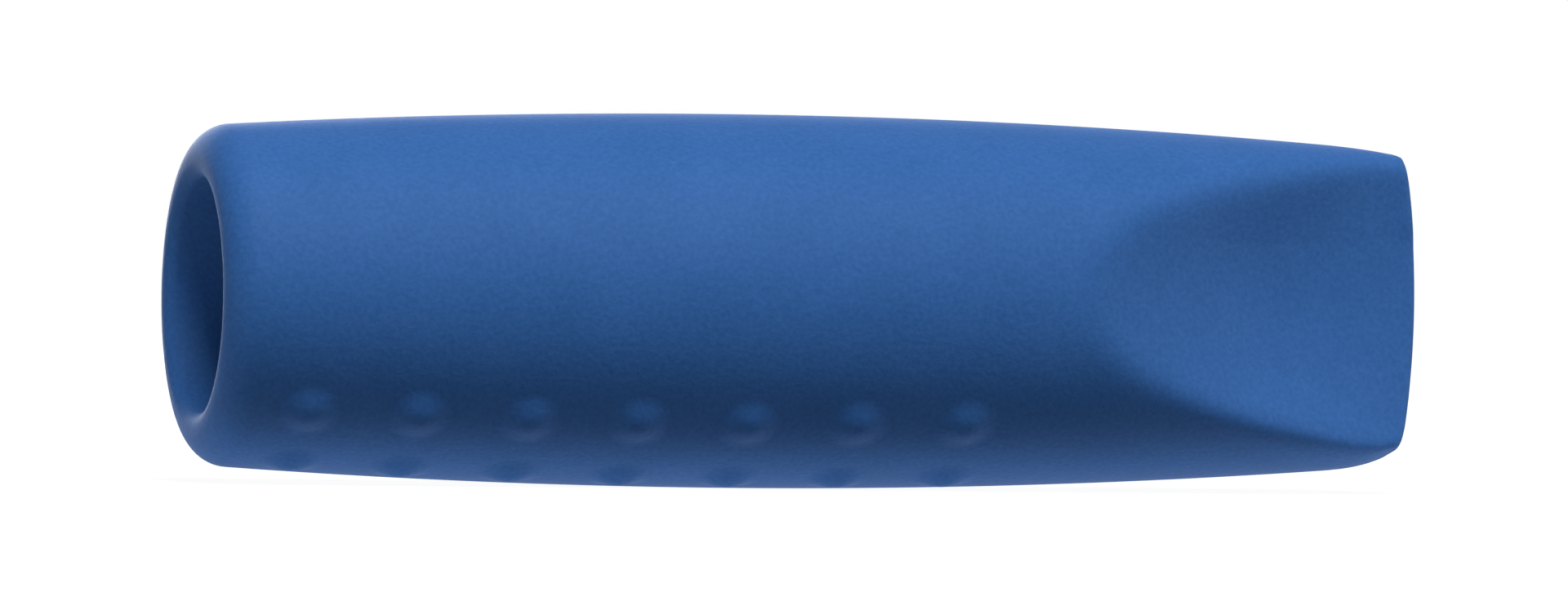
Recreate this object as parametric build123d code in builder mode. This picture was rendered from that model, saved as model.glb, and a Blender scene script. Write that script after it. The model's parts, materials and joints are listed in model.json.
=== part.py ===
import os
from math import asin, atan2, cos, degrees, pi, radians, sin, sqrt

from build123d import *

os.makedirs("parts", exist_ok=True)

# Soft eraser cap for the end of a pencil. The cap lies on its side with its axis along +X: the open
# mouth is at -X, the chisel blade at +X and upright in the XZ plane, and the grip dots face down.
# The origin is on the axis, where the straight wall of the pencil socket begins behind the lip.
# Stations are measured along the axis from the crest of the lip. Lengths are in millimetres.

# Barrel: one long shallow arc from the mouth to the blade, turned about the axis. Beside the scoops
# the arc is turned as short straight tapers, whose corners lie on it.
cap_length = 44.0
belly_diameter = 13.1
belly_station = 19.3
barrel_arc_radius = 291.0
blade_tapers = 2

# Pencil socket, stretched over a standard pencil, and the rolled lip at its mouth.
bore_diameter = 7.2
solid_end_length = 17.6
socket_end_chamfer = 0.8
lip_outer_radius = 1.4
lip_land = 0.06

# Chisel blade: two hollow scoops, one on each side, leave an upright blade with a crowned end.
# The crown's highest point lies above the axis.
blade_thickness = 2.7
blade_crown_radius = 26.0
blade_crown_lift = 0.65
blade_end_radius = 0.4
scoop_length = 13.4
scoop_waist_from_end = 6.2
scoop_waist_thickness = 6.0
scoop_hollow_radius = 15.0
scoop_flat_radius = 90.0
scoop_shoulder_radius = 1.1
cut_overrun = 1.5
crown_stock = 0.1

# Grip dots: low domes in rows along the underside, each with a hollow foot that fits the round barrel.
# The domes are small, so each is built of a few tiers with flat sides. Row angles are measured about
# the axis from straight down.
dot_diameter = 2.1
dot_height = 0.28
dot_sides = 10
dot_tiers = 3
dot_clearance = 0.02
dot_pitch = 3.92
dots_per_row = 7
first_dot_station = 3.1
inner_row_angle = 18.5
outer_row_angle = 49.0

# Largest share of a wall that a rounding on it may take.
rounding_share = 0.65

# The wall at the mouth is rolled over whole: outer rounding, a narrow land, and inner rounding.
belly_radius = belly_diameter / 2
bore_radius = bore_diameter / 2
mouth_radius = belly_radius - barrel_arc_radius + sqrt(barrel_arc_radius**2 - belly_station**2)
lip_wall = mouth_radius - bore_radius
lip_outer_rounding = min(lip_outer_radius, rounding_share * lip_wall)
lip_inner_rounding = lip_wall - lip_outer_rounding - lip_land

# Places along the axis.
lip_x = -lip_inner_rounding
belly_x = lip_x + belly_station
blade_end_x = lip_x + cap_length
socket_end_x = blade_end_x - solid_end_length
scoop_waist_x = blade_end_x - scoop_waist_from_end
scoop_root_x = blade_end_x - scoop_length
stock_end_x = blade_end_x + crown_stock
taper_start_x = scoop_root_x - scoop_shoulder_radius
taper_length = (stock_end_x - taper_start_x) / blade_tapers
taper_ends = [taper_start_x + (i + 1) * taper_length for i in range(blade_tapers)]


def barrel_radius_at(x):
    """Radius of the barrel at a place along the axis."""
    return belly_radius - barrel_arc_radius + sqrt(barrel_arc_radius**2 - (x - belly_x) ** 2)


# Front scoop's cutter: a loft through three upright sections. The first stands clear of the barrel
# before the scoop's root, the second is the hollow waist, and the last, nearly straight across,
# lies past the blade's end.
root_depth = barrel_radius_at(scoop_root_x)
waist_depth = scoop_waist_thickness / 2
end_depth = blade_thickness / 2
root_slope = (root_depth - waist_depth) / (scoop_length - scoop_waist_from_end)
end_slope = (waist_depth - end_depth) / scoop_waist_from_end
scoop_sections = (
    (scoop_root_x - cut_overrun, root_depth + root_slope * cut_overrun, scoop_flat_radius),
    (scoop_waist_x, waist_depth, scoop_hollow_radius),
    (blade_end_x + cut_overrun, end_depth - end_slope * cut_overrun, scoop_flat_radius),
)
scoop_half_height = belly_radius + cut_overrun

with BuildPart() as scoop:
    for section_x, depth, hollow_radius in scoop_sections:
        edge_depth = depth + hollow_radius - sqrt(hollow_radius**2 - scoop_half_height**2)
        far_depth = edge_depth + belly_diameter
        with BuildSketch(Plane.YZ.offset(section_x)):
            with BuildLine():
                hollow = ThreePointArc(
                    (-edge_depth, -scoop_half_height),
                    (-depth, 0),
                    (-edge_depth, scoop_half_height),
                )
                Polyline(
                    hollow @ 1,
                    (-far_depth, scoop_half_height),
                    (-far_depth, -scoop_half_height),
                    hollow @ 0,
                )
            make_face()
    loft()

# One grip dot, standing at the origin with +Z out of the barrel and the barrel's length along X. Its
# tiers follow a dome that springs from the level to which the barrel has fallen at the dot's rim.
dot_radius = dot_diameter / 2
rim_drop = mouth_radius - sqrt(mouth_radius**2 - dot_radius**2)
dome_rise = dot_height + rim_drop
dome_radius = (dot_radius**2 + dome_rise**2) / (2 * dome_rise)
tier_radii = [dot_radius * (dot_tiers - i) / dot_tiers for i in range(dot_tiers)]
tier_heights = [dot_height - dome_radius + sqrt(dome_radius**2 - radius**2) for radius in tier_radii]

with BuildPart() as grip_dot:
    for i in range(dot_tiers - 1):
        rise = tier_heights[i + 1] - tier_heights[i]
        draw_in = (tier_radii[i] - tier_radii[i + 1]) * cos(pi / dot_sides)
        with BuildSketch(Plane.XY.offset(tier_heights[i])):
            RegularPolygon(tier_radii[i], dot_sides)
        extrude(amount=rise, taper=degrees(atan2(draw_in, rise)))
    with BuildSketch(Plane.YZ):
        with Locations((0, -belly_radius)):
            Circle(belly_radius + dot_clearance)
    extrude(amount=dot_diameter, both=True, mode=Mode.SUBTRACT)


def dot_places(row_angle):
    """Planes on the barrel for one row of dots, each facing straight out of its surface."""
    across = -sin(radians(row_angle))
    down = -cos(radians(row_angle))
    places = []
    for i in range(dots_per_row):
        x = lip_x + first_dot_station + i * dot_pitch
        radius = barrel_radius_at(x)
        lean = asin((x - belly_x) / barrel_arc_radius)
        along = (cos(lean), -across * sin(lean), -down * sin(lean))
        outward = (sin(lean), across * cos(lean), down * cos(lean))
        places.append(Plane(origin=(x, across * radius, down * radius), x_dir=along, z_dir=outward))
    return places


dot_rows = {
    "grip_dots_front_outer": dot_places(outer_row_angle),
    "grip_dots_front_inner": dot_places(inner_row_angle),
    "grip_dots_back_inner": dot_places(-inner_row_angle),
    "grip_dots_back_outer": dot_places(-outer_row_angle),
}

# The crown's arc is cut through the whole height of the barrel.
crown_half_height = belly_radius + blade_crown_lift + cut_overrun
crown_edge_x = blade_end_x - blade_crown_radius + sqrt(blade_crown_radius**2 - crown_half_height**2)

# Eraser body: the barrel, its blind socket and rolled lip are turned in one. The scoops follow with
# their soft shoulders, and then the crowned blade end.
with BuildPart() as eraser_body:
    with BuildSketch(Plane.XZ) as turned_profile:
        with BuildLine():
            socket = Polyline(
                (stock_end_x, 0),
                (socket_end_x, 0),
                (socket_end_x, bore_radius),
                (lip_x, bore_radius),
                (lip_x, mouth_radius),
            )
            barrel = ThreePointArc(
                socket @ 1,
                (belly_x, belly_radius),
                (taper_start_x, barrel_radius_at(taper_start_x)),
            )
            Polyline(
                barrel @ 1,
                *[(x, barrel_radius_at(x)) for x in taper_ends],
                socket @ 0,
            )
        make_face()
        socket_corner = turned_profile.vertices().sort_by_distance((socket_end_x, bore_radius))[0]
        chamfer(socket_corner, socket_end_chamfer)
        fillet(turned_profile.vertices().sort_by_distance((lip_x, bore_radius))[0], lip_inner_rounding)
        fillet(turned_profile.vertices().sort_by_distance((lip_x, mouth_radius))[0], lip_outer_rounding)
    revolve(axis=Axis.X)

    add(scoop.part, mode=Mode.SUBTRACT)
    add(mirror(scoop.part, about=Plane.XZ, mode=Mode.PRIVATE), mode=Mode.SUBTRACT)
    scoop_edges = eraser_body.faces().filter_by(GeomType.BSPLINE).edges()
    end_edges = eraser_body.faces().sort_by(Axis.X)[-1].edges()
    fillet(scoop_edges - end_edges, min(scoop_shoulder_radius, rounding_share * blade_thickness))

    with BuildSketch(Plane.XZ):
        with BuildLine():
            crown = ThreePointArc(
                (crown_edge_x, blade_crown_lift - crown_half_height),
                (blade_end_x, blade_crown_lift),
                (crown_edge_x, blade_crown_lift + crown_half_height),
            )
            Polyline(
                crown @ 1,
                (stock_end_x + cut_overrun, blade_crown_lift + crown_half_height),
                (stock_end_x + cut_overrun, blade_crown_lift - crown_half_height),
                crown @ 0,
            )
        make_face()
    extrude(amount=belly_radius, both=True, mode=Mode.SUBTRACT)
    fillet(eraser_body.faces().sort_by(Axis.X)[-1].edges(), blade_end_radius)

eraser_body.part.label = "eraser_body"
export_step(eraser_body.part, "parts/eraser_body.step")

# The rows of dots, one node for each row.
for row_name, places in dot_rows.items():
    with BuildPart() as dot_row:
        with Locations(*places):
            add(grip_dot.part)
    dot_row.part.label = row_name
    export_step(dot_row.part, f"parts/{row_name}.step")
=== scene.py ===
import json
import math

import bmesh
import bpy
from mathutils import Matrix, Vector

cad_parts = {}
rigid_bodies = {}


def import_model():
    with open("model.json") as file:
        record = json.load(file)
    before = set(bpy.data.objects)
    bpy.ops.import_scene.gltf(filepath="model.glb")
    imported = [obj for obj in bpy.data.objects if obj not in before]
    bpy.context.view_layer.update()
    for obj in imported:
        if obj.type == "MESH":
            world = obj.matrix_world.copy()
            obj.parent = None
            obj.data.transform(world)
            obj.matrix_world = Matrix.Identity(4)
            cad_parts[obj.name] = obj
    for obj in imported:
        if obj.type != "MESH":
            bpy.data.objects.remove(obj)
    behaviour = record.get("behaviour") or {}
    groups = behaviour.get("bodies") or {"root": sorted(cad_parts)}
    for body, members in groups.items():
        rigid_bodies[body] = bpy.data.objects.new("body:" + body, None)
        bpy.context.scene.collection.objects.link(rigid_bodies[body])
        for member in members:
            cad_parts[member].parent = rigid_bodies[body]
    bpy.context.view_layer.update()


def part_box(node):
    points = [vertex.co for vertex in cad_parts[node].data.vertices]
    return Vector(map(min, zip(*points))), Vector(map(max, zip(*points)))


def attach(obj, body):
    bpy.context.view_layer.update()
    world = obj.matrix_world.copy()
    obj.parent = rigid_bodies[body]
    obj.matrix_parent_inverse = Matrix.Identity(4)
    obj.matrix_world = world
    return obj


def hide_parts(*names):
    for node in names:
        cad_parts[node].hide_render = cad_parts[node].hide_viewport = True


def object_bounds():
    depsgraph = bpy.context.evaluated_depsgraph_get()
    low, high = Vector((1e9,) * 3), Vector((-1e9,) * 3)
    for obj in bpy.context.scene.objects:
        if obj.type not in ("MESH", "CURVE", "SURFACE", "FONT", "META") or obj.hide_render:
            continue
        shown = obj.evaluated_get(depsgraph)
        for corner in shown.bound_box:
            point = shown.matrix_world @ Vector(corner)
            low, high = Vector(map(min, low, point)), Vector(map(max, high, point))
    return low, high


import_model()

# Eraser body: the whole cap is one soft moulding of eraser rubber, pushed over a pencil's end. Its
# bellied barrel, rolled lip and blind socket are turned here from one drawn half section. The far end
# is scooped hollow from both sides, which leaves an upright chisel blade with a crowned end.
mm = 0.001
body_low, body_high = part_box("eraser_body")
lip_x = body_low.x
blade_end_x = body_high.x
bore_radius = 3.6 * mm
socket_end_x = blade_end_x - 17.6 * mm
socket_chamfer = 0.8 * mm
lip_rounding = 1.3 * mm
lip_land = 0.06 * mm
lip_edge = 0.55 * mm
lead_in_angle = math.radians(14)
belly_radius = 6.55 * mm
belly_x = lip_x + 19.3 * mm
barrel_arc = 291.0 * mm
blade_start_x = lip_x + 28.2 * mm
last_ring_x = blade_end_x - 3.0 * mm
socket_rings = 8
lead_in_rings = 4
rounding_steps = 16
barrel_steps = 40
blade_steps = 80
end_cuts = 18
turned_steps = 240
merge_distance = 0.001 * mm

# The section's arcs: the barrel's long one, the lip's outer rounding, and the mouth's small inner edge,
# behind which a short lead-in cone narrows to the socket.
barrel_centre = Vector((belly_x, 0, belly_radius - barrel_arc))
lip_reach = math.sqrt((barrel_arc - lip_rounding) ** 2 - (lip_x + lip_rounding - belly_x) ** 2)
lip_centre = Vector((lip_x + lip_rounding, 0, barrel_centre.z + lip_reach))
lip_lean = math.atan2(lip_centre.x - belly_x, lip_reach)
edge_centre = Vector((lip_x + lip_edge, 0, lip_centre.z - lip_land))
edge_start = edge_centre - lip_edge * Vector((math.sin(lead_in_angle), 0, math.cos(lead_in_angle)))
lead_in = (edge_start.z - bore_radius) * Vector((-1 / math.tan(lead_in_angle), 0, 1))


def barrel_lean(x):
    """Angle of the barrel's arc from its belly to a place along the axis."""
    return math.asin((x - belly_x) / barrel_arc)


def start_section(name, place):
    """A new object in edit mode with one selected vertex, merged from a small plane."""
    bpy.ops.object.select_all(action="DESELECT")
    bpy.ops.mesh.primitive_plane_add(size=mm, location=(0, 0, 0))
    piece = bpy.context.object
    piece.name = name
    piece.data.name = name
    bpy.ops.object.mode_set(mode="EDIT")
    bpy.ops.mesh.select_mode(type="VERT")
    bpy.ops.mesh.select_all(action="SELECT")
    bpy.ops.mesh.merge(type="CENTER")
    bpy.ops.transform.translate(value=place)
    return piece


def draw_line(step):
    """Extrudes the loose end of a drawn section by a step."""
    bpy.ops.mesh.extrude_region_move(TRANSFORM_OT_translate={"value": step})


def draw_arc(centre, angle, steps, axis=(0, 1, 0)):
    """Spins the loose end of a drawn section about a centre. The operator turns left-handed."""
    bpy.ops.mesh.spin(steps=steps, angle=-angle, center=centre, axis=axis)


def turn_section(steps, axis):
    """Turns a drawn half section all the way round an axis, and closes its seam and poles."""
    bpy.ops.mesh.select_all(action="SELECT")
    bpy.ops.mesh.spin(steps=steps, angle=math.radians(360), center=(0, 0, 0), axis=axis)
    bpy.ops.mesh.select_all(action="SELECT")
    bpy.ops.mesh.remove_doubles(threshold=merge_distance)
    bpy.ops.mesh.normals_make_consistent(inside=False)
    bpy.ops.object.mode_set(mode="OBJECT")


eraser_body = start_section("eraser_body_rubber", (socket_end_x, 0, 0))
draw_line((0, 0, bore_radius - socket_chamfer))
draw_line((-socket_chamfer, 0, socket_chamfer))
for ring in range(socket_rings):
    draw_line(((edge_start.x - lead_in.x + socket_chamfer - socket_end_x) / socket_rings, 0, 0))
for ring in range(lead_in_rings):
    draw_line(lead_in / lead_in_rings)
draw_arc(edge_centre, math.radians(90) - lead_in_angle, rounding_steps)
draw_line((0, 0, lip_land))
draw_arc(lip_centre, math.radians(90) + lip_lean, rounding_steps)
draw_arc(barrel_centre, barrel_lean(blade_start_x) - lip_lean, barrel_steps)
draw_arc(barrel_centre, barrel_lean(last_ring_x) - barrel_lean(blade_start_x), blade_steps)
draw_arc(barrel_centre, barrel_lean(blade_end_x) - barrel_lean(last_ring_x), 1)
turn_section(turned_steps, (1, 0, 0))

# The blade's end is crowned: its open rim is pressed back onto a wide cylinder, whose highest point
# lies above the axis, and the wall behind the rim is divided evenly.
crown_radius = 26.0 * mm
crown_lift = 0.65 * mm
crown_sides = 720
press_limit = 8.0 * mm
near = 0.02 * mm


def press(piece, sheet, side, test, axis, forwards):
    """Moves the vertices that pass a test straight along an axis, onto a sheet."""
    group = piece.vertex_groups.new(name=side)
    group.add([v.index for v in piece.data.vertices if test(v)], 1.0, "REPLACE")
    bpy.ops.object.select_all(action="DESELECT")
    piece.select_set(True)
    bpy.context.view_layer.objects.active = piece
    pressing = piece.modifiers.new(side, "SHRINKWRAP")
    pressing.target = sheet
    pressing.wrap_method = "PROJECT"
    pressing.use_project_x = axis == "X"
    pressing.use_project_y = axis == "Y"
    pressing.use_project_z = axis == "Z"
    pressing.use_positive_direction = forwards
    pressing.use_negative_direction = not forwards
    pressing.project_limit = press_limit
    pressing.vertex_group = side
    bpy.ops.object.modifier_apply(modifier=pressing.name)
    piece.vertex_groups.remove(piece.vertex_groups[side])


def select_edges(piece, test):
    """In edit mode, selects only the edges of a piece that pass a test."""
    bpy.ops.mesh.select_mode(type="EDGE")
    bpy.ops.mesh.select_all(action="DESELECT")
    cells = bmesh.from_edit_mesh(piece.data)
    for edge in cells.edges:
        edge.select_set(test(edge))
    bmesh.update_edit_mesh(piece.data)


bpy.ops.object.select_all(action="DESELECT")
bpy.ops.mesh.primitive_cylinder_add(
    vertices=crown_sides,
    radius=crown_radius,
    depth=4 * belly_radius,
    location=(blade_end_x - crown_radius, 0, crown_lift),
    rotation=(math.radians(90), 0, 0),
)
crown = bpy.context.object
bpy.ops.object.transform_apply(location=True, rotation=True, scale=True)
press(eraser_body, crown, "rim", lambda v: v.co.x > blade_end_x - near, "X", False)
bpy.ops.object.mode_set(mode="EDIT")
select_edges(
    eraser_body,
    lambda e: abs(min(v.co.x for v in e.verts) - last_ring_x) < near
    and max(v.co.x for v in e.verts) > last_ring_x + near,
)
bpy.ops.mesh.subdivide(number_cuts=end_cuts)
bpy.ops.object.mode_set(mode="OBJECT")

# The scoops are drawn as sheets through upright arcs, and the barrel's wall is pressed onto them. Each
# arc has its station from the lip, the half thickness left at the axis, and its hollow's radius, in
# mm. The real blade isn't quite upright, so both sheets are turned a little about the axis.
scoop_arcs = (
    (25.5, 8.75, 60.0),
    (29.0, 7.10, 40.0),
    (32.0, 5.72, 20.0),
    (35.0, 4.33, 12.0),
    (38.0, 2.84, 10.0),
    (40.6, 2.06, 15.0),
    (43.6, 1.33, 45.0),
    (46.0, 0.80, 90.0),
)
scoop_half_height = 8.0 * mm
scoop_arc_steps = 24
scoop_fineness = 4
blade_roll = math.radians(-4)

sheet_arcs = []
for station, depth, hollow in scoop_arcs:
    half_angle = math.asin(scoop_half_height / (hollow * mm))
    arc_centre = Vector((lip_x + station * mm, -(depth + hollow) * mm, 0))
    arc_start = Vector((0, math.cos(half_angle), -math.sin(half_angle))) * hollow * mm
    sheet_arcs.append(start_section("scoop_arc", arc_centre + arc_start))
    draw_arc(arc_centre, 2 * half_angle, scoop_arc_steps, axis=(1, 0, 0))
    bpy.ops.object.mode_set(mode="OBJECT")
for arc in sheet_arcs:
    arc.select_set(True)
bpy.ops.object.join()
front_scoop = bpy.context.object
bpy.ops.object.mode_set(mode="EDIT")
bpy.ops.mesh.select_all(action="SELECT")
bpy.ops.mesh.bridge_edge_loops()
bpy.ops.object.mode_set(mode="OBJECT")
smoothing = front_scoop.modifiers.new("smooth", "SUBSURF")
smoothing.levels = scoop_fineness
smoothing.render_levels = scoop_fineness
bpy.ops.object.modifier_apply(modifier=smoothing.name)
back_scoop = front_scoop.copy()
back_scoop.data = front_scoop.data.copy()
bpy.context.collection.objects.link(back_scoop)
back_scoop.data.transform(Matrix.Diagonal((1, -1, 1, 1)))
for scoop in (front_scoop, back_scoop):
    scoop.data.transform(Matrix.Rotation(blade_roll, 4, "X"))
press(
    eraser_body, front_scoop, "front",
    lambda v: v.co.x > blade_start_x and v.co.y < -near, "Y", True,
)
press(
    eraser_body, back_scoop, "back",
    lambda v: v.co.x > blade_start_x and v.co.y > near, "Y", False,
)

# The shoulders, where the scoops run out into the barrel, are soft, and so is the rim of the blade's
# end. The upper shoulder is softest, more so towards the end. The end's lower corner is rounder than
# the upper one, which droops a little.
smooth_share = 0.5
shoulder_angle = math.radians(9)
shoulder_spread = 9
shoulder_passes = 36
upper_start_x = lip_x + 33.6 * mm
upper_step = 0.5 * mm
upper_spread = 9
upper_height = 2.4 * mm
upper_passes = 11
ridge_height = 5.33 * mm
rim_spread = 5
rim_passes = 10
toe_height = -5.2 * mm
toe_length = 0.95 * mm
toe_draw = (-0.12 * mm, 0, 0.22 * mm)
toe_reach = 1.7 * mm
heel_height = 5.2 * mm
heel_length = 0.9 * mm
droop = 0.06 * mm
droop_length = 1.8 * mm


def blade_height(place):
    """Distance above or below the axis, along the blade."""
    return abs((Matrix.Rotation(-blade_roll, 3, "X") @ place).z)


def select_vertices(piece, test):
    """In edit mode, selects only the vertices of a piece whose place passes a test."""
    bpy.ops.mesh.select_mode(type="VERT")
    bpy.ops.mesh.select_all(action="DESELECT")
    cells = bmesh.from_edit_mesh(piece.data)
    for vertex in cells.verts:
        vertex.select_set(test(vertex.co))
    cells.select_flush(True)
    bmesh.update_edit_mesh(piece.data)


bpy.ops.object.mode_set(mode="EDIT")
select_edges(
    eraser_body,
    lambda e: min(v.co.x for v in e.verts) > blade_start_x
    and len(e.link_faces) == 2
    and e.calc_face_angle() > shoulder_angle,
)
bpy.ops.mesh.select_mode(type="VERT")
for spread in range(shoulder_spread):
    bpy.ops.mesh.select_more()
bpy.ops.mesh.vertices_smooth(
    factor=smooth_share, repeat=shoulder_passes, xaxis=False, yaxis=True, zaxis=False,
)
for spread in range(upper_spread):
    start_x = upper_start_x + spread * upper_step
    select_vertices(eraser_body, lambda p: p.x > start_x and p.z > upper_height)
    bpy.ops.mesh.vertices_smooth(
        factor=smooth_share, repeat=upper_passes, xaxis=False, yaxis=True, zaxis=False,
    )
select_edges(
    eraser_body,
    lambda e: e.is_boundary and min(blade_height(v.co) for v in e.verts) > ridge_height,
)
bpy.ops.mesh.fill_grid(use_interp_simple=True)
bpy.ops.mesh.select_mode(type="VERT")
bpy.ops.mesh.select_less()
bpy.ops.object.mode_set(mode="OBJECT")
press(eraser_body, crown, "end", lambda v: v.select, "X", True)
bpy.ops.object.mode_set(mode="EDIT")
bpy.ops.mesh.select_more()
bpy.ops.mesh.select_mode(type="FACE")
bpy.ops.mesh.region_to_loop()
bpy.ops.mesh.select_mode(type="VERT")
for spread in range(rim_spread):
    bpy.ops.mesh.select_more()
bpy.ops.mesh.vertices_smooth(factor=smooth_share, repeat=rim_passes)
select_vertices(eraser_body, lambda p: p.x > blade_end_x - toe_length and p.z < toe_height)
bpy.ops.transform.translate(
    value=toe_draw,
    use_proportional_edit=True,
    proportional_edit_falloff="SHARP",
    proportional_size=toe_reach,
)
select_vertices(eraser_body, lambda p: p.x > blade_end_x - heel_length and p.z > heel_height)
bpy.ops.transform.translate(
    value=(0, 0, -droop),
    use_proportional_edit=True,
    proportional_edit_falloff="SHARP",
    proportional_size=droop_length,
)
bpy.ops.mesh.select_all(action="SELECT")
bpy.ops.mesh.normals_make_consistent(inside=False)
bpy.ops.object.mode_set(mode="OBJECT")
bpy.ops.object.shade_smooth()
for helper in (crown, front_scoop, back_scoop):
    bpy.data.objects.remove(helper)

# Matte eraser rubber: soft vinyl moulded in a finely blasted mould, so that it is dull and deep blue,
# with a fine even grain and a faint cloudiness in its colour, and only a thin veil of shine. The grain
# is drawn as coarse as it needs to be to show.
deep_blue = "#1F5796"
pale_blue = "#4075C0"
grain_size = 0.18 * mm
grain_depth = 0.02 * mm
cloud_size = 2.6 * mm
cloud_share = 0.3


def linear(hex_colour):
    """Linear colour of an sRGB hex value."""
    channels = [int(hex_colour[i:i + 2], 16) / 255 for i in (1, 3, 5)]
    return [c / 12.92 if c <= 0.04045 else ((c + 0.055) / 1.055) ** 2.4 for c in channels] + [1.0]


def add_node(tree, kind, inputs, **settings):
    """Adds a node with its settings, and sets or links its inputs."""
    node = tree.nodes.new(kind)
    for name, value in settings.items():
        setattr(node, name, value)
    for name, value in inputs.items():
        if isinstance(value, bpy.types.NodeSocket):
            tree.links.new(value, node.inputs[name])
        else:
            node.inputs[name].default_value = value
    return node


rubber = bpy.data.materials.new("matte_eraser_rubber")
rubber.use_nodes = True
tree = rubber.node_tree
tree.nodes.clear()
place = add_node(tree, "ShaderNodeTexCoord", {})
grain = add_node(
    tree, "ShaderNodeTexNoise",
    {"Vector": place.outputs["Object"], "Scale": 1 / grain_size, "Detail": 2.0},
)
clouds = add_node(
    tree, "ShaderNodeTexNoise",
    {"Vector": place.outputs["Object"], "Scale": 1 / cloud_size, "Detail": 3.0},
)
speckle = add_node(
    tree, "ShaderNodeMix",
    {0: cloud_share, 2: grain.outputs["Fac"], 3: clouds.outputs["Fac"]},
    data_type="FLOAT",
)
colour = add_node(
    tree, "ShaderNodeMix",
    {0: speckle.outputs[0], 6: linear(deep_blue), 7: linear(pale_blue)},
    data_type="RGBA",
)
bump = add_node(
    tree, "ShaderNodeBump",
    {"Strength": 0.8, "Distance": grain_depth, "Height": grain.outputs["Fac"]},
)
surface = add_node(
    tree, "ShaderNodeBsdfPrincipled",
    {
        "Base Color": colour.outputs[2],
        "Roughness": 0.66,
        "IOR": 1.5,
        "Specular IOR Level": 0.2,
        "Normal": bump.outputs["Normal"],
    },
)
add_node(tree, "ShaderNodeOutputMaterial", {"Surface": surface.outputs["BSDF"]})
eraser_body.data.materials.clear()
eraser_body.data.materials.append(rubber)
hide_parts("eraser_body")
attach(eraser_body, "root")

# Grip dots: low soft bumps in four rows along the underside, moulded in one with the barrel and of
# the same rubber. One is drawn as a disc and copied along each row. The discs are laid on the barrel's
# wall and raised in the middle, so that their feet run out into it.
dot_radius = 1.2 * mm
dot_height = 0.26 * mm
dot_skin = 0.06 * mm
dot_pitch = 3.92 * mm
first_dot_x = lip_x + 3.1 * mm
dots_per_row = 7
dot_rings = 9
dot_segments = 32
dot_crease = math.radians(40)
row_angles = {
    "grip_dots_front_outer": 49.0,
    "grip_dots_front_inner": 18.5,
    "grip_dots_back_inner": -18.5,
    "grip_dots_back_outer": -49.0,
}

dot = start_section("grip_dot", (dot_radius, 0, 0))
for ring in range(dot_rings):
    draw_line((-dot_radius / dot_rings, 0, 0))
turn_section(dot_segments, (0, 0, 1))
if dot.data.polygons[0].normal.z < 0:
    dot.data.flip_normals()
swell = dot.vertex_groups.new(name="swell")
for vertex in dot.data.vertices:
    share = min(1.0, vertex.co.xy.length / dot_radius)
    swell.add([vertex.index], (1 + math.cos(math.pi * share)) / 2, "REPLACE")

for node_name, row_angle in row_angles.items():
    across = -math.sin(math.radians(row_angle))
    down = -math.cos(math.radians(row_angle))
    row_dots = []
    for i in range(dots_per_row):
        x = first_dot_x + i * dot_pitch
        lean = barrel_lean(x)
        radius = belly_radius - barrel_arc * (1 - math.cos(lean))
        outward = Vector((math.sin(lean), across * math.cos(lean), down * math.cos(lean)))
        along = Vector((math.cos(lean), -across * math.sin(lean), -down * math.sin(lean)))
        stand = Matrix((along, outward.cross(along), outward)).transposed().to_4x4()
        stand.translation = (x, across * radius, down * radius)
        copy = dot.copy()
        copy.data = dot.data.copy()
        copy.data.transform(stand)
        bpy.context.collection.objects.link(copy)
        row_dots.append(copy)
    bpy.ops.object.select_all(action="DESELECT")
    for copy in row_dots:
        copy.select_set(True)
    row = row_dots[0]
    bpy.context.view_layer.objects.active = row
    bpy.ops.object.join()
    row.name = node_name + "_rubber"
    row.data.name = row.name
    laying = row.modifiers.new("lay", "SHRINKWRAP")
    laying.target = eraser_body
    laying.wrap_method = "NEAREST_SURFACEPOINT"
    bpy.ops.object.modifier_apply(modifier=laying.name)
    raising = row.modifiers.new("raise", "DISPLACE")
    raising.vertex_group = "swell"
    raising.mid_level = 0
    raising.strength = dot_height
    bpy.ops.object.modifier_apply(modifier=raising.name)
    backing = row.modifiers.new("back", "SOLIDIFY")
    backing.thickness = dot_skin
    backing.offset = -1
    bpy.ops.object.modifier_apply(modifier=backing.name)
    row.vertex_groups.clear()
    bpy.ops.object.shade_smooth_by_angle(angle=dot_crease)
    row.data.materials.clear()
    row.data.materials.append(rubber)
    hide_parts(node_name)
    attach(row, "root")
bpy.data.objects.remove(dot)

# Floor: a plain white table top, on which the cap lies. It stays white to the eye, and near the cap a
# part of that white is lamp light, so that the cap's shadow shows. Under the cap a strip of the floor
# gives off painted light, though it is no lamp. The eye doesn't see that glow, and it lights the
# underside.
white = "#FFFFFF"
floor_grey = "#626262"
floor_size = 6
middle = Vector((lip_x + 21.35 * mm, 0, 0))
shadow_from = 40 * mm
shadow_to = 90 * mm
shadow_white = 0.94
glow_from = 2.5 * mm
glow_to = 7.5 * mm
painted_glow_strength = 0.55

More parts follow.
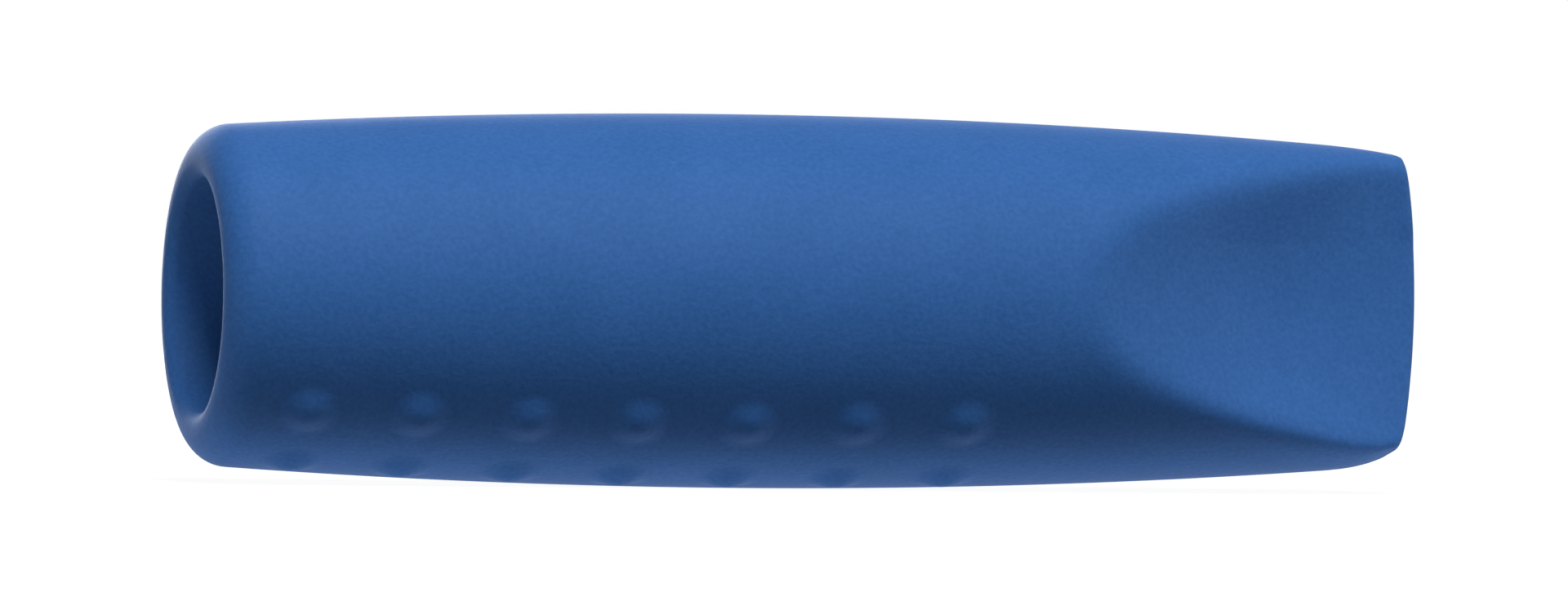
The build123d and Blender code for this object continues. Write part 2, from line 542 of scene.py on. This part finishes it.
resting_low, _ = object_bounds()
bpy.ops.object.select_all(action="DESELECT")
bpy.ops.mesh.primitive_plane_add(size=floor_size, location=(0, 0, resting_low.z))
floor = bpy.context.object
floor.name = "floor"
bpy.ops.object.transform_apply(location=True)
table_top = bpy.data.materials.new("white_table_top")
table_top.use_nodes = True
tree = table_top.node_tree
tree.nodes.clear()
path = add_node(tree, "ShaderNodeLightPath", {})
mirrored = add_node(
    tree, "ShaderNodeMath",
    {0: path.outputs["Is Glossy Ray"], 1: path.outputs["Is Transmission Ray"]}, operation="MAXIMUM",
)
seen = add_node(
    tree, "ShaderNodeMath",
    {0: path.outputs["Is Camera Ray"], 1: mirrored.outputs[0]}, operation="MAXIMUM",
)
place = add_node(tree, "ShaderNodeTexCoord", {})
offset = add_node(
    tree, "ShaderNodeVectorMath",
    {0: place.outputs["Object"], 1: middle}, operation="SUBTRACT",
)
reach = add_node(tree, "ShaderNodeVectorMath", {0: offset.outputs[0]}, operation="LENGTH")
shown = add_node(
    tree, "ShaderNodeMapRange",
    {
        "Value": reach.outputs["Value"],
        "From Min": shadow_from,
        "From Max": shadow_to,
        "To Min": shadow_white,
        "To Max": 1.0,
    },
    interpolation_type="SMOOTHSTEP",
)
parts = add_node(tree, "ShaderNodeSeparateXYZ", {0: offset.outputs[0]})
side = add_node(tree, "ShaderNodeMath", {0: parts.outputs["Y"]}, operation="ABSOLUTE")
# Painted glow: a strip of floor under the cap, seen only by light bounced onto the cap, not by the eye.
glow = add_node(
    tree, "ShaderNodeMapRange",
    {
        "Value": side.outputs[0],
        "From Min": glow_from,
        "From Max": glow_to,
        "To Min": painted_glow_strength,
        "To Max": 0.0,
    },
    interpolation_type="SMOOTHSTEP",
)
strength = add_node(
    tree, "ShaderNodeMix",
    {0: seen.outputs[0], 2: glow.outputs[0], 3: shown.outputs[0]}, data_type="FLOAT",
)
lit = add_node(tree, "ShaderNodeBsdfDiffuse", {"Color": linear(floor_grey)})
glowing = add_node(
    tree, "ShaderNodeEmission",
    {"Color": linear(white), "Strength": strength.outputs[0]},
)
both = add_node(tree, "ShaderNodeAddShader", {0: lit.outputs[0], 1: glowing.outputs[0]})
add_node(tree, "ShaderNodeOutputMaterial", {"Surface": both.outputs[0]})
floor.data.materials.append(table_top)

# Backdrop and light: a white room that only the eye and reflections see, and that sheds no light.
# Four soft square lamps light the cap: a key above its front, a fill at each end, and one low behind.
lamp_distance = 0.5
lamp_size = 0.2

world = bpy.data.worlds.new("studio")
bpy.context.scene.world = world
world.use_nodes = True
tree = world.node_tree
tree.nodes.clear()
path = add_node(tree, "ShaderNodeLightPath", {})
mirrored = add_node(
    tree, "ShaderNodeMath",
    {0: path.outputs["Is Glossy Ray"], 1: path.outputs["Is Transmission Ray"]}, operation="MAXIMUM",
)
seen = add_node(
    tree, "ShaderNodeMath",
    {0: path.outputs["Is Camera Ray"], 1: mirrored.outputs[0]}, operation="MAXIMUM",
)
backdrop = add_node(
    tree, "ShaderNodeBackground",
    {"Color": linear(white), "Strength": seen.outputs[0]},
)
add_node(tree, "ShaderNodeOutputWorld", {"Surface": backdrop.outputs[0]})

aim = Vector((lip_x + 21.29 * mm, 0, -0.205 * mm))


def add_lamp(name, azimuth, elevation, power):
    """A soft square lamp aimed at the cap: degrees right of the front, degrees up, and watts."""
    a, e = math.radians(azimuth), math.radians(elevation)
    back = Vector((math.sin(a) * math.cos(e), -math.cos(a) * math.cos(e), math.sin(e)))
    bpy.ops.object.light_add(type="AREA", location=aim + back * lamp_distance)
    lamp = bpy.context.object
    lamp.name = name
    lamp.data.size = lamp_size
    lamp.data.energy = power
    lamp.rotation_euler = back.to_track_quat("Z", "Y").to_euler()


add_lamp("key_softbox", -5, 55, 2.16)
add_lamp("right_fill", 75, 12, 0.52)
add_lamp("left_fill", -76, 10, 0.22)
add_lamp("back_softbox", 180, 11, 1.4)

# Camera: level with the cap and turned a little to its mouth, as in the photo, with a slight roll. It
# stands far off with a long lens, which leaves little perspective.
view_azimuth = math.radians(-14.6)
view_elevation = math.radians(0.4)
view_roll = math.radians(0.76)
camera_distance = 0.9
sensor_width = 36
photo_width = 1920
photo_pixels_per_mm = 34.92

back = Vector((
    math.sin(view_azimuth) * math.cos(view_elevation),
    -math.cos(view_azimuth) * math.cos(view_elevation),
    math.sin(view_elevation),
))
camera_data = bpy.data.cameras.new("camera")
camera = bpy.data.objects.new("camera", camera_data)
bpy.context.scene.collection.objects.link(camera)
camera.location = aim + back * camera_distance
turned = back.to_track_quat("Z", "Y").to_matrix() @ Matrix.Rotation(view_roll, 3, "Z")
camera.rotation_euler = turned.to_euler()
camera_data.sensor_width = sensor_width
camera_data.lens = sensor_width * camera_distance / (photo_width / photo_pixels_per_mm * mm)
bpy.context.scene.camera = camera
bpy.context.scene.view_settings.view_transform = "Standard"
